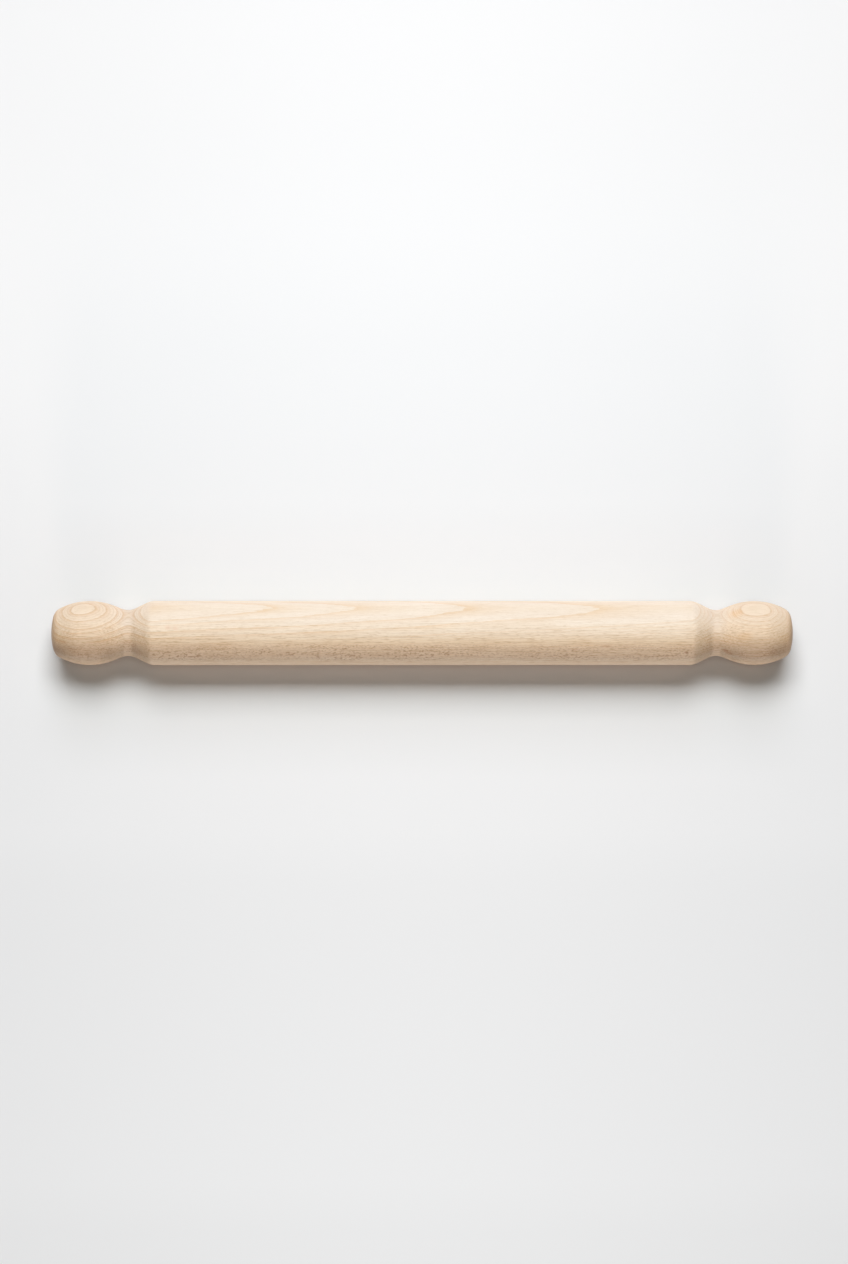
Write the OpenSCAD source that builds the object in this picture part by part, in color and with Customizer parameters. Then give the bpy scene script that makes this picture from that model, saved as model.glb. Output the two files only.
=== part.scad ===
// French rolling pin with knob ends, turned from one piece of wood.
// Millimetres. The pin's axis lies along X, with its middle at the origin and +Z up.

/* [Overall] */
// Length from the tip of one end to the tip of the other
overall_length = 460; // [400:1:520]

/* [Barrel] */
// Diameter of the straight barrel that rolls the dough
barrel_d = 39.8; // [36:0.1:46]
// Radius of the soft edge where the barrel turns into its shoulder
barrel_edge_r = 12.7; // [6:0.1:18]
// Angle of the shoulder to the pin's axis, in degrees
shoulder_angle = 25.8; // [18:0.1:40]

/* [Neck] */
// Diameter of the neck at its narrowest place
neck_d = 28.5; // [22:0.1:33]
// Radius of the hollow that runs round the neck
neck_cove_r = 10.3; // [6:0.1:16]

/* [Knob] */
// Diameter of the knob at its widest place, under the barrel's so that a ring slides over it
knob_d = 39.6; // [35:0.1:46]
// Radius of the knob's crown, measured along the pin
knob_crown_r = 40.5; // [32:0.1:50]
// Angle of the knob's inner flank to the pin's axis, in degrees
knob_flank_angle = 21.4; // [14:0.1:30]
// Distance from the knob's widest place to the tip of the end
knob_reach = 23.9; // [20:0.1:28]

/* [End] */
// Radius of the shallow dome across the end
end_dome_r = 41; // [34:0.5:80]
// Radius of the soft edge round the end
end_edge_r = 7.9; // [3:0.1:11]

/* [Curves] */
// Turn of the outline between two points of a curve, in degrees
curve_step = 2.5; // [1:0.5:5]

/* [Hidden] */

half_length = overall_length / 2;
barrel_r = barrel_d / 2;
neck_r = neck_d / 2;
knob_r = knob_d / 2;

// A flank can't turn further than two arcs that meet without a straight between them
function flank_turn(wanted, drop, radii) = min(wanted, acos(1 - drop / radii));
shoulder_turn = flank_turn(shoulder_angle, barrel_r - neck_r, barrel_edge_r + neck_cove_r);
knob_turn = flank_turn(knob_flank_angle, knob_r - neck_r, knob_crown_r + neck_cove_r);

// Length along the pin of a flank: both arcs and the straight that is tangent to them
function flank_run(turn, drop, radii) =
    radii * sin(turn) + (drop - radii * (1 - cos(turn))) / tan(turn);

// Where the widest place of the knob, the narrowest of the neck and the barrel's end lie
knob_z = half_length - knob_reach;
neck_z = knob_z - flank_run(knob_turn, knob_r - neck_r, knob_crown_r + neck_cove_r);
barrel_z = neck_z - flank_run(shoulder_turn, barrel_r - neck_r, barrel_edge_r + neck_cove_r);

// Centres of the outline's arcs, each as [radius, distance along the pin]
dome_centre = [0, half_length - end_dome_r];
crown_centre = [knob_r - knob_crown_r, knob_z];
cove_centre = [neck_r + neck_cove_r, neck_z];
barrel_edge_centre = [barrel_r - barrel_edge_r, barrel_z];

// The end's edge rolls inside both the crown and the dome, so its centre is where circles
// round their centres, each smaller by the edge's radius, cross on the outer side
function outer_crossing(p, rp, q, rq) =
    let (
        gap = norm(q - p),
        along = (rp * rp - rq * rq + gap * gap) / (2 * gap),
        across = sqrt(rp * rp - along * along),
        way = (q - p) / gap
    )
    p + along * way + across * [way[1], -way[0]];
end_edge_centre = outer_crossing(
    dome_centre, end_dome_r - end_edge_r, crown_centre, knob_crown_r - end_edge_r);

// Direction from one point to another, in degrees from straight out towards the end
function heading(from, to) = atan2(to[1] - from[1], to[0] - from[0]);
dome_turn = heading(dome_centre, end_edge_centre);
crown_turn = heading(crown_centre, end_edge_centre);

// Points of an arc between two headings from its centre
function arc(centre, r, from, to) =
    let (steps = max(1, ceil(abs(to - from) / curve_step)))
    [for (i = [0:steps])
        let (a = from + (to - from) * i / steps)
        centre + r * [cos(a), sin(a)]];

// The outline from the tip of the end to the end of the straight barrel
function end_points() = concat(
    arc(dome_centre, end_dome_r, 90, dome_turn),
    arc(end_edge_centre, end_edge_r, dome_turn, crown_turn));
function knob_points() = arc(crown_centre, knob_crown_r, crown_turn, -knob_turn);
function neck_points() = arc(cove_centre, neck_cove_r, 180 - knob_turn, 180 + shoulder_turn);
function shoulder_points() = arc(barrel_edge_centre, barrel_edge_r, shoulder_turn, 0);
half_outline = concat(end_points(), knob_points(), neck_points(), shoulder_points());

// The other half is the same outline, met in the opposite order
last_point = len(half_outline) - 1;
other_half = [for (i = [last_point:-1:0]) [half_outline[i][0], -half_outline[i][1]]];

// The whole pin: barrel, shoulders, necks and knobs in one piece
module turned_pin() {
    color("burlywood")
        rotate([0, 90, 0])
            rotate_extrude($fn = 160)
                polygon(concat(half_outline, other_half));
}

turned_pin();
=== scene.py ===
# %% [markdown]
# # A turned rolling pin
#
# This is a rolling pin of the one-piece kind: a straight barrel, two narrow necks and two knobs
# to hold it by, all cut on a lathe from one blank of pale hardwood. There is nothing to join and
# nothing that moves, so everything depends on two things: a clean turned outline, and wood that
# looks like wood from every side.
#
# We start from the solid that the workshop drawing gives. It fixes the size and the place of the
# pin, and all that follows is fitted to it. Its box is read now, for the pin's length, the
# barrel's radius and the height of the table.

import bpy
import numpy as np
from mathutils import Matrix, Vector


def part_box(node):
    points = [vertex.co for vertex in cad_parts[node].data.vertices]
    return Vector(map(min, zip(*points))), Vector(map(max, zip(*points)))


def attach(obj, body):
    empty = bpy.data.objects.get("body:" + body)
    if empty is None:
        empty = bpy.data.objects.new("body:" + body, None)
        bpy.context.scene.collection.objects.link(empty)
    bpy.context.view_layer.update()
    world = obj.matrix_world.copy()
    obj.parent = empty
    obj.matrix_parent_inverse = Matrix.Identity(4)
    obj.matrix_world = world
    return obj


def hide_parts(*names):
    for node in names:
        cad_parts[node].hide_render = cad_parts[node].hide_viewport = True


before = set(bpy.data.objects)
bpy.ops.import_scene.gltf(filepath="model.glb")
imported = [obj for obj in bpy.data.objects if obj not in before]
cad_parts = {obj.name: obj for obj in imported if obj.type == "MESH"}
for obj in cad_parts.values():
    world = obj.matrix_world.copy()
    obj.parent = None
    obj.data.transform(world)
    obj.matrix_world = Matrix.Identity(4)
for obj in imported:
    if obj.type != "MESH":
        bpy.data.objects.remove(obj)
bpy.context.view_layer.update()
low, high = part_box("turned_pin")
PIN_LENGTH = high.x - low.x
BARREL_RADIUS = high.z
TABLE_HEIGHT = low.z
print(f"the pin is {PIN_LENGTH:.4f} m long and its barrel {2 * BARREL_RADIUS:.4f} m thick")

# %% [markdown]
# ## The outline that the lathe cuts
#
# A turned piece is one outline carried round an axis. The solid already holds that outline, but
# as a fan of flat facets that would show on a soft curve. We could type the outline in again, and
# then it might drift away from the solid. Instead we read it back: every vertex of the solid lies
# on a ring, and a ring is only two numbers, its place along the axis and its distance from it.

# %% Read the rings off the solid
STRAIGHT_ENOUGH = np.radians(0.3)  # a ring where the outline turns less is left out


def rings_of(node):
    """The rings of a solid turned about X, from tip to tip: x, and r = sqrt(y*y + z*z), in metres.
    A ring where the outline doesn't turn is only a cut in a straight stretch, and is left out."""
    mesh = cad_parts[node].data
    places = np.empty(len(mesh.vertices) * 3, np.float32)
    mesh.vertices.foreach_get("co", places)
    places = places.reshape(-1, 3).astype(float)
    _, first = np.unique(np.round(places[:, 0], 6), return_index=True)
    x, r = places[first, 0], np.hypot(places[first, 1], places[first, 2])
    heading = np.arctan2(np.diff(r), np.diff(x))
    turns = np.abs(np.diff(heading)) > STRAIGHT_ENOUGH
    kept = np.concatenate([[True], turns, [True]])
    return x[kept], r[kept]


ring_x, ring_r = rings_of("turned_pin")
print(f"the outline has {len(ring_x)} rings, {2e3 * ring_r.max():.1f} mm across at the widest")

# %% [markdown]
# ## A smooth line through the rings
#
# Straight lines between the rings would bring the facets back. A smooth curve through them must
# not swing past them either, or the long straight barrel would bulge. So each piece of the curve
# is a cubic whose slope at a ring is the harmonic mean of the slopes on both sides: where one side
# is level, the mean is level too, and the barrel stays a true cylinder.

# %% Draw a smooth curve through the rings
def smooth_through(at, knots, values):
    """A cubic between each two knots: h is the share of the way, and the value is
    (1+2h)(1-h)^2 v0 + h^2 (3-2h) v1 + gap h(1-h) ((1-h) m0 - h m1), with slopes m0 and m1."""
    gap = np.diff(knots)
    slope = np.diff(values) / gap
    before, after = slope[:-1], slope[1:]
    same_way = before * after > 0
    mean = np.where(same_way, 2 * before * after / np.where(same_way, before + after, 1), 0)
    m = np.concatenate([[slope[0]], mean, [slope[-1]]])
    i = np.clip(np.searchsorted(knots, at, side="right") - 1, 0, len(gap) - 1)
    h = (at - knots[i]) / gap[i]
    ends = (1 + 2 * h) * (1 - h) ** 2 * values[i] + h**2 * (3 - 2 * h) * values[i + 1]
    return ends + gap[i] * h * (1 - h) * ((1 - h) * m[i] - h * m[i + 1])


steps = np.hypot(np.diff(ring_x), np.diff(ring_r))
travel = np.concatenate([[0], np.cumsum(steps)])
print(f"from tip to tip along the surface it is {travel[-1]:.4f} m")

# %% [markdown]
# ## Where the mesh needs its rows
#
# The barrel is straight and needs few rows, and the shoulders, necks and knobs need many. One way
# is to subdivide until it looks right, which spends most faces where nothing happens. Here a row
# is placed wherever the same amount of a running sum has been reached, and the sum runs faster on
# the curved ends than on the barrel.

# %% Spread the rows of the mesh
ROWS, COLUMNS = 600, 160
BARREL_SHARE = 0.55  # how closely rows stand on the barrel, beside 1 on the ends
EASE = 0.004  # metres over which their spacing changes
FINE = 20001  # places at which the running sum is taken

fine = np.linspace(0, travel[-1], FINE)
fine_x = smooth_through(fine, travel, ring_x)
barrel_end = np.abs(ring_x[np.argmax(ring_r)])
on_barrel = 1 / (1 + np.exp((np.abs(fine_x) - barrel_end) / EASE))
pace = 1 + (BARREL_SHARE - 1) * on_barrel
running = np.concatenate([[0], np.cumsum((pace[1:] + pace[:-1]) / 2)])
row_travel = np.interp(np.linspace(0, running[-1], ROWS + 1), running, fine)
row_x = smooth_through(row_travel, travel, ring_x)
row_r = smooth_through(row_travel, travel, ring_r)
row_gaps = 1e3 * np.diff(row_travel)
print(f"rows lie {row_gaps.min():.2f} to {row_gaps.max():.2f} mm apart")

# %% [markdown]
# ## Carrying the outline round
#
# The surface is a function of two numbers: how far along the outline, and how far round. A perfect
# sweep looks machined, though, and this pin was sanded by hand while it spun and then across the
# grain where the lathe had let go of it. So the radius gets a few slow waves, round and along, of a
# few hundredths of a millimetre, which the light finds and a ruler doesn't.
#
# The two tips are one vertex each, with triangles round them, so that no hole is left there.

# %% Make the surface of the pin
WAVES = (2.0e-5, 1.5e-5)  # metres that two slow waves of sanding rise and fall


def turned_surface(x, r, columns):
    """Point (i, j) is (x_i, R sin t_j, R cos t_j), with t_j = 2 pi j / columns. R is r_i times
    1 + (w1 sin(2 t + 9 x) + w2 sin(3 t - 23 x + 1) - w1 - w2) / the barrel's radius: two waves
    of sanding, taken off the solid so that they never stand out of it."""
    t = np.arange(columns) * 2 * np.pi / columns
    t, along = np.meshgrid(t, x[1:-1])
    waves = WAVES[0] * np.sin(2 * t + 9 * along) + WAVES[1] * np.sin(3 * t - 23 * along + 1)
    radius = r[1:-1, None] * (1 + (waves - sum(WAVES)) / BARREL_RADIUS)
    body = np.stack([along, radius * np.sin(t), radius * np.cos(t)], axis=-1)
    return np.concatenate([[[x[0], 0, 0]], body.reshape(-1, 3), [[x[-1], 0, 0]]])


places = turned_surface(row_x, row_r, COLUMNS)
print(f"{len(places)} points, from {places.min(0).round(4)} to {places.max(0).round(4)}")

# %% [markdown]
# ## Faces, and a map to unroll them on
#
# Each four neighbours of the grid make one face, and their order decides which way it looks. The
# map unrolls the surface like a label off a tin: along the pin on one side, round it on the other.
# A pattern painted through this map keeps its fine detail across the grain, where wood needs it.

# %% Join the points and unroll the map
def grid_faces(rows, columns):
    """Corner lists of the faces between rows i and i+1 and columns j and j+1, the last column
    meeting the first, then of the two fans of triangles at the tips. All look outwards."""
    i, j = np.meshgrid(np.arange(rows - 2), np.arange(columns), indexing="ij")
    a, b = 1 + i * columns + j, 1 + i * columns + (j + 1) % columns
    quads = np.stack([a, b, b + columns, a + columns], -1).reshape(-1, 4)
    j = np.arange(columns)
    tip, base = 1 + (rows - 1) * columns, 1 + (rows - 2) * columns
    first = np.stack([np.zeros_like(j), 1 + (j + 1) % columns, 1 + j], -1)
    last = np.stack([np.full_like(j, tip), base + j, base + (j + 1) % columns], -1)
    return quads, first, last


def grid_map(share, columns):
    """Map places for the same corners: u is the share of the way along the outline, v round it."""
    rows = len(share) - 1
    i, j = np.meshgrid(np.arange(1, rows - 1), np.arange(columns), indexing="ij")
    u0, u1, v0, v1 = share[i], share[i + 1], j / columns, (j + 1) / columns
    quads = np.stack([u0, v0, u0, v1, u1, v1, u1, v0], -1).reshape(-1, 4, 2)
    j = np.arange(columns)
    lo, hi, mid = j / columns, (j + 1) / columns, (j + 0.5) / columns
    near, far = np.full(columns, share[1]), np.full(columns, share[-2])
    first = np.stack([0 * near, mid, near, hi, near, lo], -1).reshape(-1, 3, 2)
    last = np.stack([0 * far + 1, mid, far, lo, far, hi], -1).reshape(-1, 3, 2)
    return quads, first, last


def smooth_mesh(name, places, face_groups, map_groups):
    """An object with these points, faces and map, its shading smooth."""
    mesh = bpy.data.meshes.new(name)
    faces = [face for group in face_groups for face in group.tolist()]
    mesh.from_pydata(places.tolist(), [], faces)
    unrolled = mesh.uv_layers.new(name="OFBake")
    corners = np.concatenate([group.reshape(-1, 2) for group in map_groups])
    unrolled.data.foreach_set("uv", corners.astype(np.float32).ravel())
    mesh.polygons.foreach_set("use_smooth", np.ones(len(faces), bool))
    mesh.update()
    piece = bpy.data.objects.new(name, mesh)
    bpy.context.scene.collection.objects.link(piece)
    return piece


row_share = row_travel / row_travel[-1]
pin = smooth_mesh("pin_wood", places, grid_faces(ROWS, COLUMNS), grid_map(row_share, COLUMNS))
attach(pin, "root")
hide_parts("turned_pin")
print(f"{pin.name} has {len(pin.data.polygons)} faces")

# %% [markdown]
# ## Wood is a solid, not a skin
#
# The figure on a turned piece comes from inside it. Year rings are thin shells round the middle of
# the tree, and the lathe cuts through them: where the surface lies flat to the shells they open
# into long flames, where it stands across them they are close lines, and on a knob they close into
# ovals. A picture wrapped round the pin couldn't do that. So the wood is worked out from each
# point's place in the tree, and the pin simply sits in it.
#
# Shader nodes are small sums. A few short names keep the long ones readable.

# %% Short names for shader nodes
class Sums:
    """Adds nodes to one material or world. Each method joins its inputs and gives its output."""

    def __init__(self, owner):
        self.tree = owner.node_tree

    def node(self, kind, inputs=(), **settings):
        """A node with these settings, each input joined to another node or set to a number."""
        made = self.tree.nodes.new(kind)
        for name, value in settings.items():
            setattr(made, name, value)
        for slot, value in dict(inputs).items():
            if isinstance(value, bpy.types.NodeSocket):
                self.tree.links.new(value, made.inputs[slot])
            else:
                made.inputs[slot].default_value = value
        return made

    def math(self, how, *values, clamp=False):
        """One sum, such as ADD or POWER. MULTIPLY_ADD is first * second + third."""
        made = self.node("ShaderNodeMath", enumerate(values), operation=how, use_clamp=clamp)
        return made.outputs[0]

    def vector(self, how, *values):
        """The same for places and directions. LENGTH and DOT_PRODUCT give one number."""
        inputs = dict(enumerate(values[:2]))
        if how == "SCALE":
            inputs = {0: values[0], "Scale": values[1]}
        made = self.node("ShaderNodeVectorMath", inputs, operation=how)
        return made.outputs["Value" if how in ("LENGTH", "DOT_PRODUCT") else "Vector"]

    def split(self, vector):
        """The x, y and z of a place or direction."""
        return self.node("ShaderNodeSeparateXYZ", {0: vector}).outputs

    def join(self, x, y, z):
        """A place or direction with this x, y and z."""
        return self.node("ShaderNodeCombineXYZ", {0: x, 1: y, 2: z}).outputs[0]

    def ramp(self, value, start, end, low=0.0, high=1.0):
        """low up to start, high from end on, and an S-shaped rise between."""
        inputs = {"Value": value, "From Min": start, "From Max": end, "To Min": low, "To Max": high}
        made = self.node("ShaderNodeMapRange", inputs, interpolation_type="SMOOTHSTEP")
        return made.outputs[0]

    def noise(self, place, detail=2.0, roughness=0.5):
        """Cloudy noise from about 0 to 1, one cloud to each unit of place."""
        inputs = {"Vector": place, "Scale": 1.0, "Detail": detail, "Roughness": roughness}
        return self.node("ShaderNodeTexNoise", inputs, noise_dimensions="3D").outputs[0]

    def stir(self, value, cloud, amount):
        """The value, moved up or down by amount times what the noise is above or below a half."""
        return self.math("MULTIPLY_ADD", self.math("SUBTRACT", cloud, 0.5), amount, value)

    def curve(self, value, points, low, high, straight=False):
        """A line drawn through given points, smooth or of straight stretches, between low and
        high. A float curve works from 0 to 1 both ways, so the value is squeezed into that, and
        the result stretched back."""
        xs, ys = np.array(points, float).T
        start, span = float(xs[0]), float(xs[-1] - xs[0])
        squeezed = self.math("DIVIDE", self.math("SUBTRACT", value, start), span)
        made = self.node("ShaderNodeFloatCurve", {"Factor": 1.0, "Value": squeezed})
        line = made.mapping.curves[0]
        made.mapping.use_clip = False
        spots = list(zip((xs - start) / span, (ys - low) / (high - low)))
        line.points[0].location, line.points[-1].location = spots[0], spots[-1]
        for x, y in spots[1:-1]:
            line.points.new(x, y)
        for point in line.points:
            point.handle_type = "VECTOR" if straight else "AUTO"
        made.mapping.update()
        return self.math("MULTIPLY_ADD", made.outputs[0], high - low, low)

    def colour_curve(self, value, rows, low, high, straight=False):
        """Three such lines at once: each row holds a place and the red, green and blue there."""
        lines = [[(row[0], row[k]) for row in rows] for k in (1, 2, 3)]
        return self.join(*[self.curve(value, line, low, high, straight) for line in lines])

    def mix(self, share, first, second, how="MIX"):
        """Colours: first where share is 0, second where it is 1."""
        inputs = {0: share, 6: first, 7: second}
        return self.node("ShaderNodeMix", inputs, data_type="RGBA", blend_type=how).outputs[2]


wood = bpy.data.materials.new("turned_beech")
wood.use_nodes = True
wood.node_tree.nodes.clear()
sums = Sums(wood)
pin.data.materials.append(wood)
print(f"material {wood.name} is empty and ready")

# %% [markdown]
# ## Finding the pin's place in the tree
#
# The blank was sawn from near the bark of a thick log, so the middle of the tree, the pith, lies
# far outside the pin. `height` is how far a point stands above the pith along the line from pith to
# bark, and `side` how far off that line it is. The distance from the pith is then the square root
# of the sum of their squares, and `depth` is that distance counted from the pin's axis on.
#
# The way to the bark was read off the picture. The rings open into ovals high on the knobs, on
# the side away from us, and the rays lie open along the side towards us.

# %% Work out the distance from the pith
MM = 1000.0
BARK_TILT = np.radians(50)  # the bark lay this far round from straight up, towards +Y
PITH_DEPTH = 250.0  # mm from the pin's axis down to the pith

coordinates = sums.node("ShaderNodeTexCoord").outputs["Object"]
place = sums.vector("SCALE", coordinates, MM)
px = sums.split(place)[0]
toward_bark = [0, float(np.sin(BARK_TILT)), float(np.cos(BARK_TILT))]
across_bark = [0, float(np.cos(BARK_TILT)), float(-np.sin(BARK_TILT))]
height = sums.math("ADD", sums.vector("DOT_PRODUCT", place, toward_bark), PITH_DEPTH)
side = sums.vector("DOT_PRODUCT", place, across_bark)
in_tree = sums.join(px, side, height)
squares = [sums.math("POWER", height, 2.0), sums.math("POWER", side, 2.0)]
from_pith = sums.math("SQRT", sums.math("ADD", *squares))
print(f"the pith lies {PITH_DEPTH:.0f} mm from the axis")

# %% [markdown]
# ## The drift of the log
#
# A tree is no cylinder. It leans and bends a little against the saw, and that drift decides where
# each flame has its tip. It is drawn here as a curve along the pin. Growth isn't even either, so
# noise of three sizes makes the rings waver: a slow bend, a ripple and a fine fray.

# %% Let the log drift along the pin
DRIFT = [  # mm along the pin, and mm that the log has drifted there
    (-235, 13.6), (-217, 12.65), (-209, 11.85), (-202, 11.25), (-194, 10.8), (-188, 10.65),
    (-182, 10.25), (-165, 9.1), (-147, 8.5), (-124, 7.75), (-95.5, 7.0), (-79, 6.45), (-43, 5.3),
    (-29, 4.9), (-15, 4.45), (4, 3.7), (14, 3.15), (30, 2.45), (66, 1.4), (76, 1.2), (89, 0.65),
    (107, 0.0), (150, -1.3), (207, -3.0), (217, -2.75), (235, -3.1),
]
drift = sums.curve(px, DRIFT, -5.0, 15.0)
depth = sums.math("ADD", sums.math("SUBTRACT", from_pith, PITH_DEPTH), drift)
print(f"from end to end the log drifts {DRIFT[0][1] - DRIFT[-1][1]:.1f} mm")

# %% Make the rings waver
def along_grain(length, width, detail=1.0, roughness=0.5):
    """Noise whose clouds are so many millimetres long along the pin, and so many wide."""
    stretch = [1 / length, 1 / width, 1 / width]
    return sums.noise(sums.vector("MULTIPLY", in_tree, stretch), detail, roughness)


WAVERS = [(55, 16, 0.9), (14, 2.2, 0.3), (11, 0.7, 0.28)]  # mm long, mm wide, mm of waver
for length, width, amount in WAVERS:
    depth = sums.stir(depth, along_grain(length, width), amount)
print(f"the rings waver in {len(WAVERS)} sizes")

# %% How squarely the surface lies along the rays
facing = sums.node("ShaderNodeTexCoord").outputs["Normal"]
along_rays = sums.math("ABSOLUTE", sums.vector("DOT_PRODUCT", facing, across_bark))
print("0 where the surface looks at the bark or the pith, 1 a quarter turn from there")

# %% [markdown]
# ## Year rings
#
# Good years make wide rings and dry years narrow ones, so the rings' edges are given one by one,
# as distances from the pith. A curve turns distance into a count of years: its whole number says
# which ring a point is in, and its fraction how late in that year the wood grew. Wood of the early
# year is pale and open. Late in the year it gets denser and more orange, and then stops at a sharp
# edge, where the pale wood of the next spring begins.

# %% Count the years
RINGS = [  # where each ring ends, in mm beyond the pin's axis, and how dark it ends
    (-27, 0.6), (-24.9, 0.8), (-23.1, 0.5), (-20.8, 0.7), (-19, 0.9), (-16.6, 0.6), (-14.5, 0.8),
    (-12.7, 0.5), (-10.4, 0.9), (-8.3, 0.7), (-6.6, 0.5), (-4.4, 0.8), (-2.5, 0.6), (-0.4, 0.7),
    (1.6, 0.5), (3.3, 0.7), (5.1, 0.55), (6.9, 0.7), (8.4, 0.5), (9.8, 0.6), (10.8, 0.45),
    (12.1, 0.6), (13.4, 0.5), (14.6, 0.6), (15.9, 0.75), (19.9, 0.9), (22.6, 1.0), (25.2, 0.85),
    (26.7, 1.0), (29.3, 0.8), (30.9, 0.9), (33.0, 0.6), (35.0, 0.7),
]
ends = np.array([end for end, dark in RINGS])
years = np.arange(len(ends), dtype=float)
year = sums.curve(depth, np.column_stack([ends, years]), 0.0, float(years[-1]), straight=True)
season = sums.math("FRACT", year)
whole_year = sums.math("FLOOR", year)
print(f"{len(RINGS) - 1} rings between {ends[0]:.0f} and {ends[-1]:.0f} mm from the axis")

# %% [markdown]
# ## How dark a ring ends
#
# Some years end in a dark line and some hardly show, so each ring has its own darkness. Noise
# breaks the lines up where the wood is cut along the rays, and again on the knobs. There the rings
# also look softer and rounder than on the barrel: their late wood starts earlier in the year, its
# edge is less sharp, and three short spells of slow growth leave fine lines inside each year.

# %% How dark each ring ends
KNOBS_FROM, KNOBS_TO = 165.0, 180.0  # mm from the middle; the barrel's look changes to the knobs'
MEAN_PATCH = 0.55  # noise above this strengthens a ring's line, and below it the line fades
BROKEN_ON_KNOBS, BROKEN_ON_RAYS = 1.6, 2.8  # how much it does so
darkness = np.array([dark for end, dark in RINGS])[1:]
strength = sums.curve(whole_year, np.column_stack([years[:-1], darkness]), 0.0, 1.0, straight=True)
off_centre = sums.math("ABSOLUTE", px)
knobs = sums.ramp(off_centre, KNOBS_FROM, KNOBS_TO)
broken = sums.ramp(along_rays, 0.3, 0.8, 0.0, BROKEN_ON_RAYS)
broken = sums.math("MULTIPLY_ADD", knobs, BROKEN_ON_KNOBS, broken)
patches = sums.math("SUBTRACT", along_grain(22, 4, 2.0), MEAN_PATCH)
patches = sums.math("MULTIPLY", patches, broken)
strength = sums.math("MULTIPLY_ADD", strength, patches, strength, clamp=True)
print(f"rings end {darkness.min()} to {darkness.max()} dark")

# %% Draw the late wood
SUMMER_SHARE, AUTUMN_SHARE = 0.55, 0.45  # the slow and the quick part of a year's darkening
AUTUMN, AUTUMN_ON_KNOBS = 0.83, 0.66  # how far into the year the quick part sets in
KNOB_DARKER, KNOB_SOFTER = 0.45, 0.5  # what the knobs' rings gain, and what their edges lose
summer = sums.math("MULTIPLY", sums.ramp(season, 0.3, 1.0), SUMMER_SHARE)
sets_in = sums.math("MULTIPLY_ADD", knobs, AUTUMN_ON_KNOBS - AUTUMN, AUTUMN)
autumn = sums.math("MULTIPLY", sums.ramp(season, sets_in, 0.97), AUTUMN_SHARE)
late_wood = sums.math("MULTIPLY", sums.math("ADD", summer, autumn), strength)
stronger = sums.math("MULTIPLY_ADD", knobs, KNOB_DARKER, 1.0)
late_wood = sums.math("MULTIPLY", late_wood, stronger, clamp=True)
softened = sums.math("MULTIPLY", knobs, sums.ramp(season, 0.9, 1.0, 0.0, KNOB_SOFTER))
late_wood = sums.math("MULTIPLY", late_wood, sums.math("SUBTRACT", 1.0, softened))
print("late wood is ready")

# %% Draw the spells inside a year
SPELLS = 3.0
spells = sums.ramp(sums.math("FRACT", sums.math("MULTIPLY", year, SPELLS)), 0.5, 0.95)
spells = sums.math("MULTIPLY", sums.math("MULTIPLY", spells, knobs), strength)
print(f"{SPELLS:.0f} spells in each year on the knobs")

# %% [markdown]
# ## Rays
#
# Besides rings, this wood has rays: thin upright ribbons that run from the pith outwards, a tenth
# of a millimetre thick and a millimetre or two tall. Cut across they are short fine dashes. But
# along two sides of the pin the surface runs along them, and there they lie open as a lace of
# small darker flecks. They are clouds of noise squeezed flat: wide along the way from the pith,
# short along the pin, and very thin round the tree.

# %% Lay in the rays
RAY = [1.7, 0.12, 1.5]  # mm along the pin, round the tree and out from the pith
CROWD = [26.0, 3.0, 6.0]  # the same for a crowd of rays
round_tree = sums.math("MULTIPLY", sums.math("ARCTAN2", side, height), PITH_DEPTH)
by_rays = sums.join(px, round_tree, depth)
rays = sums.ramp(sums.noise(sums.vector("DIVIDE", by_rays, RAY), 1.0), 0.50, 0.66)
crowded = sums.noise(sums.vector("DIVIDE", by_rays, CROWD), 1.0)
for share in (
    sums.ramp(crowded, 0.3, 0.65, 0.35, 1.0),
    sums.ramp(along_rays, 0.91, 0.975),
    sums.ramp(px, -90.0, 60.0, 1.0, 0.78),
):
    rays = sums.math("MULTIPLY", rays, share)
print(f"a ray is {RAY[1]} mm thick and {RAY[0]} mm tall")

# %% [markdown]
# ## Fibres, dashes and pores
#
# All the rest runs along the trunk: fibres that lighten and darken the wood in streaks a fraction
# of a millimetre wide and centimetres long, the short brown dashes that rays leave where the
# surface cuts across their ends, and pores, fine as a needle scratch. All are noise again,
# stretched along the pin.

# %% Draw the fibres, the dashes and the pores
streaks = along_grain(22, 1.0, 3.0, 0.6)
lines = sums.ramp(along_grain(30, 0.5, 1.0), 0.46, 0.68)
lines = sums.math("MULTIPLY", lines, sums.ramp(along_rays, 0.15, 0.8, 0.2, 1.0))
fibres = along_grain(5, 0.35, 2.0, 0.6)
dashes = sums.ramp(along_grain(5, 0.5), 0.52, 0.70)
dashes = sums.math("MULTIPLY", dashes, sums.ramp(along_rays, 0.3, 0.95, 0.3, 1.0))
pores = sums.ramp(along_grain(2.2, 0.25), 0.60, 0.74)
clouds = along_grain(45, 11, 2.0)
print("fibres, lines, dashes, pores and clouds are ready")

# %% [markdown]
# ## Colour
#
# Colours are mixed the way they lie in the wood. Each effect is a colour that the wood is
# multiplied by, in full where the effect is 1 and not at all where it is 0, so the effects can
# overlap without any of them painting the others out.

# %% Mix the colour of the wood
PALE, LESS_PALE = (0.82, 0.645, 0.545, 1), (0.80, 0.62, 0.516, 1)
RING, KNOB_RING = (0.95, 0.85, 0.72, 1), (0.925, 0.835, 0.745, 1)
tone = sums.mix(sums.ramp(clouds, 0.3, 0.7), PALE, LESS_PALE)
tone = sums.mix(late_wood, tone, sums.mix(knobs, RING, KNOB_RING), how="MULTIPLY")


def tint_by(colour, share, tint):
    """The colour, multiplied by tint as far as share says."""
    return sums.mix(share, colour, (*tint, 1), how="MULTIPLY")


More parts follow.
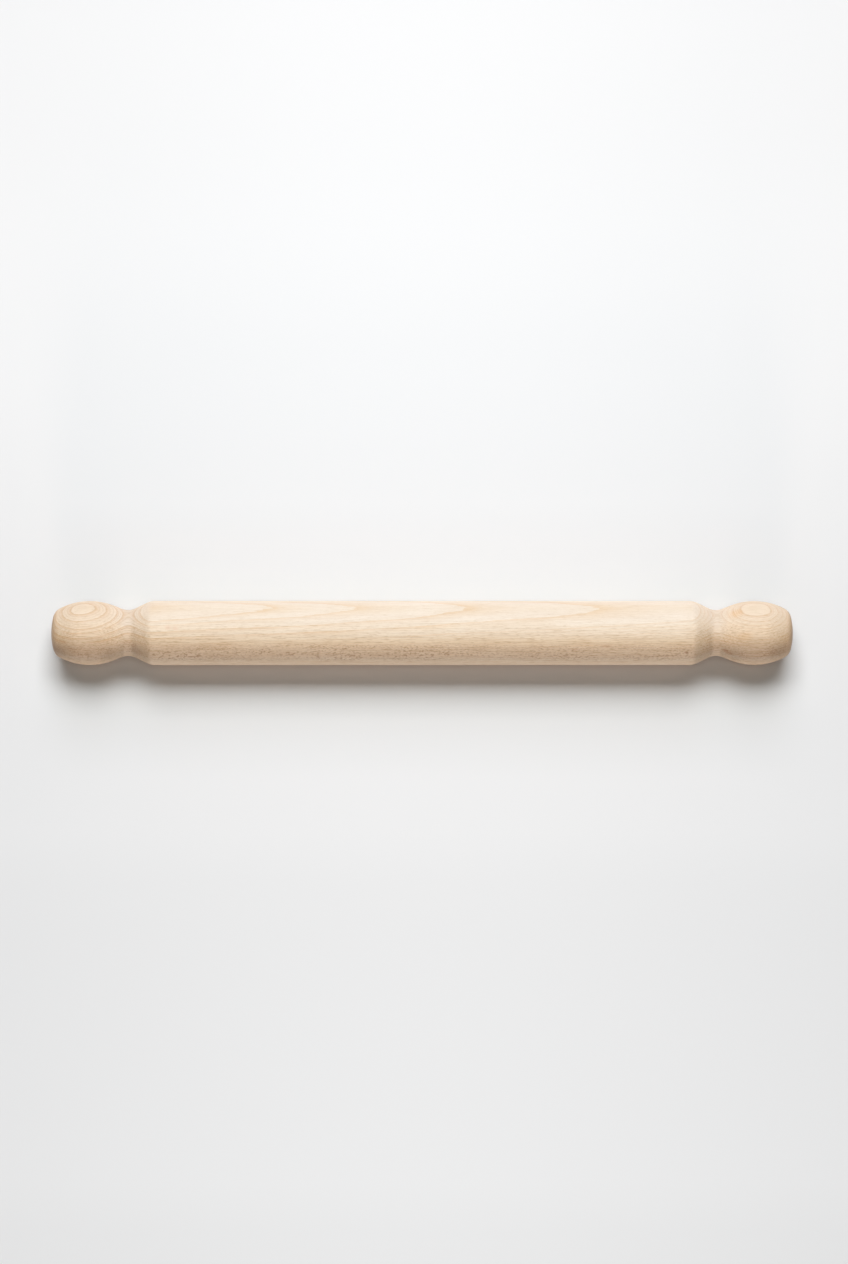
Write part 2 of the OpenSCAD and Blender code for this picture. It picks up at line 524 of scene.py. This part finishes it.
for share, tint in (
    (spells, (0.90, 0.85, 0.80)),
    (sums.ramp(streaks, 0.35, 0.75), (0.965, 0.945, 0.915)),
    (sums.ramp(fibres, 0.35, 0.75), (0.97, 0.95, 0.925)),
    (lines, (0.895, 0.855, 0.81)),
    (dashes, (0.84, 0.775, 0.70)),
    (pores, (0.92, 0.88, 0.83)),
    (rays, (0.67, 0.56, 0.485)),
):
    tone = tint_by(tone, share, tint)
print("the grain is coloured")

# %% [markdown]
# ## The cut, and painted light, change the colour
#
# One piece of wood has more than one colour. Cut flat to the rings it is creamy, cut along the
# rays it is browner, and a turned surface passes slowly through all of this on its way round. The
# same curve also holds painted light: the wood is made paler where it faces up and a little towards
# us, a little less red on the lit crest, darker and warmer low on our side, where painted shade
# lies on top of the browner ray face, and paler again along the lowest edge on our side, as painted
# bounce light from the table. It could be painted as stripes along the pin, but the necks and
# knobs would need stripes of their own. So the colour follows the way the surface faces in the
# tree, which suits all of them.

# %% Let the colour follow the way the surface was cut, with painted light on top
# painted light and shade: besides the browner ray face, this curve makes the wood paler facing up,
# darker low on our side and paler again at the lowest edge
CUT_AND_PAINTED_LIGHT = [  # 1 looks at the bark and -1 at the pith; what the colour is multiplied by there
    (-1.0, 1.0, 1.0, 1.0), (-0.7, 1.0, 1.06, 1.08), (-0.35, 1.035, 1.125, 1.12),
    (-0.075, 0.965, 0.965, 0.90), (0.075, 0.975, 0.965, 0.885), (0.4, 1.085, 1.07, 0.96),
    (0.68, 1.11, 1.13, 1.085), (0.855, 1.025, 1.07, 1.07), (1.0, 0.948, 1.0, 1.0),
]
to_bark = sums.vector("DOT_PRODUCT", facing, toward_bark)
tone = sums.mix(1.0, tone, sums.colour_curve(to_bark, CUT_AND_PAINTED_LIGHT, 0.8, 1.2), how="MULTIPLY")
print(f"{len(CUT_AND_PAINTED_LIGHT)} ways to face")

# %% [markdown]
# ## Marks of its own
#
# Noise makes wood in general. A real pin also has marks that belong to it alone: here a peach
# stain on one knob and some brown specks. Two more blobs are painted shade, greying the lower
# corner of the left end and the low side of the left shoulder. Each is a soft oval blob, placed
# where the picture has it, and its edge is frayed by the fibres it lies on.

# %% Set a few marks and two patches of painted shade
MARKS_AND_PAINTED_SHADE = [  # mm: the middle, half the length, half the width; then the tint
    (194.0, 12.2, 13.2, 5.5, 4.5, (1.0, 0.90, 0.79)),
    (199.1, -2.1, 19.3, 6.0, 3.5, (0.98, 0.92, 0.84)),
    (-152.2, 2.9, 19.7, 2.4, 1.6, (0.97, 0.90, 0.87)),
    (-156.8, 3.2, 19.6, 2.4, 1.6, (0.97, 0.90, 0.87)),
    (163.1, -12.0, 15.9, 1.6, 1.1, (0.72, 0.58, 0.52)),
    (187.5, -10.8, 11.2, 2.8, 1.2, (0.82, 0.68, 0.64)),
    (94.0, -10.1, 17.1, 3.4, 0.9, (0.90, 0.81, 0.77)),
    (113.6, -8.3, 18.1, 4.2, 0.9, (0.90, 0.81, 0.77)),
    # painted shade: the next two grey the lower corner of the left end and the low side of the left
    # shoulder, on our side
    (-227.0, -10.5, 8.0, 7.0, 8.0, (0.80, 0.80, 0.83)),
    (-177.0, -10.8, 12.0, 5.0, 4.5, (0.90, 0.885, 0.90)),
    (190.5, -12.4, 10.4, 4.0, 2.2, (0.87, 0.77, 0.71)),
]
FRAYED = 0.8  # how far the fibres move a mark's edge, beside 1 for half its size
for x, y, z, half_length, half_width, tint in MARKS_AND_PAINTED_SHADE:
    sizes = [1 / half_length, 1 / half_width, 1 / half_width]
    away = sums.vector("MULTIPLY", sums.vector("SUBTRACT", place, [x, y, z]), sizes)
    away = sums.stir(sums.vector("LENGTH", away), fibres, FRAYED)
    tone = tint_by(tone, sums.ramp(away, 0.2, 1.2, 1.0, 0.0), tint)
print(f"{len(MARKS_AND_PAINTED_SHADE)} marks")

# %% [markdown]
# ## Knobs, end grain and painted shade
#
# The knobs are a touch warmer than the barrel, as wood gets where hands hold it. Where the tool
# cut squarely through the fibres, across both ends and the steepest flanks, their open mouths
# swallow light and the end grain looks darker. Painted shade comes on top of that: on the outward
# flanks, the shoulders and the ends, strongest on the side towards us and faint on the lit side,
# on the low inward flanks of the knobs on our side, and a little in the hollow of the necks.

# %% Warm the knobs
HANDLED = [  # mm along the pin, and how much it was handled there
    (-235, 1.0), (-200, 0.95), (-190, 0.6), (-180, 0.3), (-165, 0.3), (-140, 0.2), (-90, 0.0),
    (150, 0.0), (165, 0.2), (180, 0.3), (190, 0.8), (200, 1.0), (235, 1.0),
]
handled = sums.curve(px, HANDLED, 0.0, 1.0)
# where the knobs are cut along the rays, low on our side and underneath, they are also made greyer
# and a little darker
on_rays = sums.math("MULTIPLY", handled, sums.ramp(along_rays, 0.75, 0.97))
tone = tint_by(tone, handled, (0.965, 0.915, 0.85))
tone = tint_by(tone, on_rays, (0.87, 0.885, 0.93))
print("the knobs are warmer")

# %% Darken the end grain, and paint shade on the flanks and in the necks
NECK = 182.3  # mm from the middle to a neck's narrowest place
faces_along, faces_away = sums.split(facing)[:2]
faces_end = sums.math("ABSOLUTE", faces_along)
faces_tip = sums.math("MULTIPLY", faces_along, sums.math("SIGN", px))
# painted shade: outward flanks, shoulders and ends, in full on our side and about a fifth as strong
# on the lit side
outer_painted_shade = sums.ramp(faces_tip, 0.1, 0.44)
outer_painted_shade = sums.math("MULTIPLY", outer_painted_shade, sums.ramp(faces_away, -0.85, 0.95, 1.0, 0.22))
# painted shade: the inward flanks of the knobs, on our side only
inner_painted_shade = sums.ramp(faces_tip, -0.36, -0.12, 1.0, 0.0)
inner_painted_shade = sums.math("MULTIPLY", inner_painted_shade, sums.ramp(faces_away, -0.9, -0.3, 1.0, 0.0))
from_neck = sums.math("ABSOLUTE", sums.math("SUBTRACT", off_centre, NECK))
for share, tint in (
    (outer_painted_shade, (0.77, 0.752, 0.725)),
    (inner_painted_shade, (0.80, 0.785, 0.765)),
    # painted shade in the hollow of each neck
    (sums.ramp(from_neck, 1.0, 8.0, 1.0, 0.0), (0.93, 0.92, 0.915)),
    (sums.ramp(faces_end, 0.45, 0.85), (0.90, 0.86, 0.825)),
):
    tone = tint_by(tone, share, tint)
print("the colour is mixed")

# %% [markdown]
# ## Surface
#
# Fine sanding leaves bare hardwood almost dull, with a soft sheen where the light grazes it. The
# pores and the soft early wood sand a hair lower than the hard late wood and the rays, and the
# streaks ripple it a little more. That relief is a few hundredths of a millimetre, too small for
# the mesh, so it goes into the bump.

# %% Give the wood its surface
RELIEF = 0.00003  # metres for each 1 of relief
DULL, FIBRE_DULL = 0.45, 0.15  # roughness, and what the fibres add to it
relief = 0.0
for part, rise in ((streaks, 4.5), (late_wood, 0.6), (fibres, -0.8), (pores, -0.4), (rays, 0.4)):
    relief = sums.math("MULTIPLY_ADD", part, rise, relief)
bump = sums.node("ShaderNodeBump", {"Strength": 1.0, "Distance": RELIEF, "Height": relief})
dullness = sums.math("MULTIPLY_ADD", fibres, FIBRE_DULL, DULL)
surface = sums.node("ShaderNodeBsdfPrincipled", {
    "Base Color": tone, "Roughness": dullness, "Normal": bump.outputs[0],
    "IOR": 1.45, "Specular IOR Level": 0.25,
})
sums.node("ShaderNodeOutputMaterial", {"Surface": surface.outputs[0]})
print("the wood is finished")

# %% [markdown]
# ## A plain table
#
# The pin lies on a pale, dull ground. It is one flat square, large enough to fill most views and
# to throw its own soft light back under the wood, which keeps the pin's dark side from going
# black.
#
# In the picture the ground isn't even. It is nearly white beyond the pin and greyer at our side.
# Lamps could do that too, but each of them would change the light on the wood as well. So the
# lamps are set for the wood and its shadow, and the rest of the light's fall-off is painted into
# the ground's colour, along a line drawn through given points: paler beyond the pin, greyer at
# our side and towards the left and right.

# %% Lay the table
TABLE_SIZE = 8.0
reach = np.array([[-1, -1], [1, -1], [1, 1], [-1, 1]]) * TABLE_SIZE / 2
corners = np.column_stack([reach, np.full(4, TABLE_HEIGHT)])
table_mesh = bpy.data.meshes.new("table")
table_mesh.from_pydata(corners.tolist(), [], [(0, 1, 2, 3)])
table = bpy.data.objects.new("table", table_mesh)
bpy.context.scene.collection.objects.link(table)
paper = bpy.data.materials.new("pale_ground")
paper.use_nodes = True
paper_shader = paper.node_tree.nodes["Principled BSDF"]
paper_shader.inputs["Roughness"].default_value = 0.9
paper_shader.inputs["Specular IOR Level"].default_value = 0.1
print(f"the table lies at {1e3 * TABLE_HEIGHT:.1f} mm")

# %% Let the ground fade towards us
ground = Sums(paper)
on_table = ground.node("ShaderNodeTexCoord").outputs["Object"]
gx, gy = ground.split(on_table)[:2]
FADE = [  # metres beyond the pin, negative on our side, and how pale the ground is there
    (-4.0, 1.2), (-1.0, 1.2), (-0.5, 1.13), (-0.384, 1.09), (-0.352, 1.12), (-0.29, 1.10),
    (-0.228, 1.08), (-0.166, 1.06), (-0.116, 1.085), (-0.079, 1.06), (0.0, 1.065), (0.082, 1.10),
    (0.144, 1.133), (0.237, 1.139), (0.318, 1.109), (0.385, 1.097), (1.0, 0.85), (2.0, 0.6),
    (4.0, 0.42),
]
GROUND = (0.837, 0.785, 0.79)  # its colour where the line above says 1
SIDES = 0.92  # how pale it is 0.4 m to the left and right, beside 1 in the middle
# painted light: this paleness stands in for the light's fall-off, towards us and to the left and
# right
upward = ground.curve(gy, FADE, 0.0, 1.2, straight=True)
off_middle = ground.math("ABSOLUTE", gx)
outward = ground.ramp(off_middle, 0.0, 0.4, 1.0, SIDES)
ground_tone = ground.vector("SCALE", GROUND, ground.math("MULTIPLY", upward, outward))
print(f"the ground is drawn through {len(FADE)} points")

# %% [markdown]
# ## The ground close to the pin
#
# The wood throws warm light on the ground right beside it, more than the picture shows there. The
# ground is made darker and cooler along the pin, by about what that glow adds. The mask thins out
# along the knobs, where the pin stops being a straight wall of wood.

# %% Take the wood's own glow off the ground
NEAR = [  # metres beyond the pin, and what red, green and blue are multiplied by there
    (-0.12, 1.0, 1.0, 1.0), (-0.09, 1.0, 1.0, 1.0), (-0.06, 0.96, 0.97, 0.97),
    (-0.05, 0.95, 0.97, 0.97), (-0.042, 0.98, 1.007, 1.007), (-0.02, 0.975, 1.005, 1.005),
    (-0.005, 0.85, 0.89, 0.90), (0.024, 0.85, 0.89, 0.90), (0.04, 0.92, 0.935, 0.94),
    (0.055, 0.965, 0.965, 0.965), (0.082, 1.0, 1.0, 1.0), (0.12, 1.0, 1.0, 1.0),
]
near = ground.colour_curve(gy, NEAR, 0.8, 1.2, straight=True)
beside = ground.ramp(off_middle, 0.2, 0.26, 1.0, 0.0)
ground_tone = ground.mix(beside, ground_tone, near, how="MULTIPLY")
ground.tree.links.new(ground_tone, paper_shader.inputs["Base Color"])
print(f"the glow is taken off in {len(NEAR)} steps")

# %% [markdown]
# ## Where the ground ends
#
# A low view looks along the ground, far past the lamps, and would see it turn dark and then stop
# at a hard edge. A studio has a paper roll that curves up there. Here the far ground simply takes
# on the brightness of the room, and only where it is looked at, straight or in something glossy:
# it throws none of that on the pin, so the wood and its shadow stay as they are.

# %% Melt the far ground into the room
ROOM_COLOUR = (0.97, 0.98, 1.0, 1)
ROOM_SEEN = 0.9
MELTS_FROM, MELTS_TO = 0.6, 3.0  # metres from the pin


def looked_at(where):
    """1 for a ray from the eye, from a glossy thing or through glass, and 0 for the rest."""
    path = where.node("ShaderNodeLightPath").outputs
    seen = where.math("MAXIMUM", path["Is Camera Ray"], path["Is Glossy Ray"])
    return where.math("MAXIMUM", seen, path["Is Transmission Ray"])


far_off = ground.ramp(ground.vector("LENGTH", on_table), MELTS_FROM, MELTS_TO)
melted = ground.math("MULTIPLY", far_off, looked_at(ground))
haze = ground.node("ShaderNodeEmission", {"Color": ROOM_COLOUR, "Strength": ROOM_SEEN})
both = {0: melted, 1: paper_shader.outputs[0], 2: haze.outputs[0]}
blend = ground.node("ShaderNodeMixShader", both)
ground.tree.links.new(blend.outputs[0], ground.tree.nodes["Material Output"].inputs["Surface"])
table_mesh.materials.append(paper)
print(f"the ground melts into the room from {MELTS_FROM} to {MELTS_TO} m")

# %% [markdown]
# ## Light
#
# The shadow says where the light is. It starts soft right beside the pin and ends nearly four
# radii out, and an edge that a light throws past a round bar lands at
# radius * tan(45 degrees + half its angle from overhead). The shadow's dark edge, worked back
# through that, gives 25 degrees, beyond the top of the picture, and its outer end about 60. A wide
# white scrim hung flat fills the first part. Beyond it is open sky, weaker and bluer, which is what
# makes the shadow fade so slowly outwards and keeps its outer half cool. The sky goes on to 66
# degrees, so that the shadow has no hard end.
#
# The side towards us gets a little warm light, as from a lit wall behind us. A card close by would
# give it too, and with it a bright pool on the table that every low view shows. So the wall is a
# sun lamp: low, endlessly far off, and wide enough that its light stays soft. It lights the whole
# table alike. A trace comes from overhead as well. What the eye or a glossy thing sees of the room
# is pale, but the room itself throws no light.

# %% Hang the scrim and the sky
SCRIM_HEIGHT, SCRIM_WIDTH = 6.0, 5.0
SCRIM_COLOUR, SKY_COLOUR = (0.945, 1.0, 1.0), (0.75, 0.9, 1.0)


def soft_panel(name, place, size, power, colour):
    """A rectangle that hangs flat and shines from its lower face."""
    data = bpy.data.lights.new(name, "AREA")
    data.shape = "RECTANGLE"
    data.size, data.size_y = size
    data.energy = power
    data.color = colour
    panel = bpy.data.objects.new(name, data)
    panel.location = place
    panel.visible_camera = False
    bpy.context.scene.collection.objects.link(panel)
    return panel


def flat_panel(name, first, last, power, colour):
    """A panel that fills the angles first to last from overhead, in degrees, beyond the pin."""
    near, far = SCRIM_HEIGHT * np.tan(np.radians([first, last]))
    place = (0, (near + far) / 2, TABLE_HEIGHT + SCRIM_HEIGHT)
    return soft_panel(name, place, (SCRIM_WIDTH, far - near), power, colour)


scrim = flat_panel("scrim", first=25.2, last=50, power=829.0, colour=SCRIM_COLOUR)
sky = flat_panel("sky", first=50, last=66, power=436.0, colour=SKY_COLOUR)
print(f"the scrim hangs {scrim.location.y:.1f} m beyond the pin, the sky {sky.location.y:.1f} m")

# %% Light the wall behind us
WALL_ANGLE = np.radians(84)  # from overhead, on our side
WALL_WIDTH = np.radians(14)
WALL_COLOUR = (1.0, 0.85, 0.69)
wall_light = bpy.data.lights.new("wall", "SUN")
wall_light.energy = 1.24
wall_light.angle = WALL_WIDTH
wall_light.color = WALL_COLOUR
wall = bpy.data.objects.new("wall", wall_light)
wall.rotation_euler = (WALL_ANGLE, 0, 0)
bpy.context.scene.collection.objects.link(wall)
print(f"the wall glows {90 - np.degrees(WALL_ANGLE):.0f} degrees above the table")

# %% Hang a small lamp overhead
OVERHEAD = 3.3  # metres above the table
OVERHEAD_COLOUR = (0.87, 1.0, 0.95)
over_pin = (0, 0, TABLE_HEIGHT + OVERHEAD)
soft_panel("overhead", over_pin, size=(1.0, 1.0), power=13.3, colour=OVERHEAD_COLOUR)
print(f"the lamp hangs {OVERHEAD} m above the table")

# %% Fill the room
world = bpy.data.worlds.new("room")
bpy.context.scene.world = world
world.use_nodes = True
room = Sums(world)
background = world.node_tree.nodes["Background"]
background.inputs["Color"].default_value = ROOM_COLOUR
brightness = room.math("MULTIPLY", looked_at(room), ROOM_SEEN)
room.tree.links.new(brightness, background.inputs["Strength"])
print(f"the room throws no light and looks {ROOM_SEEN} bright")

# %% [markdown]
# ## Camera
#
# The pin is seen from straight above and from far away, so both ends look alike and nothing
# leans. A long lens keeps it that way, and its distance follows from the frame: the pin fills
# seven eighths of the picture's width.

# %% Set up the camera
PICTURE_HEIGHT, PIN_PIXELS = 1264, 741.2  # the picture's height, and the pin's length in it
LENS, SENSOR = 135.0, 36.0  # mm, the sensor along the picture's taller side
OFF_CENTRE = (0.0012, 0.0006)  # metres, as in the picture
tall = PIN_LENGTH * PICTURE_HEIGHT / PIN_PIXELS
camera_data = bpy.data.cameras.new("camera")
camera_data.lens = LENS
camera_data.sensor_width = SENSOR
camera_data.clip_end = 100
camera = bpy.data.objects.new("camera", camera_data)
camera.location = (*OFF_CENTRE, tall * LENS / SENSOR)
bpy.context.scene.collection.objects.link(camera)
bpy.context.scene.camera = camera
bpy.context.scene.view_settings.view_transform = "Standard"
print(f"the camera hangs {camera.location.z:.2f} m above the pin")
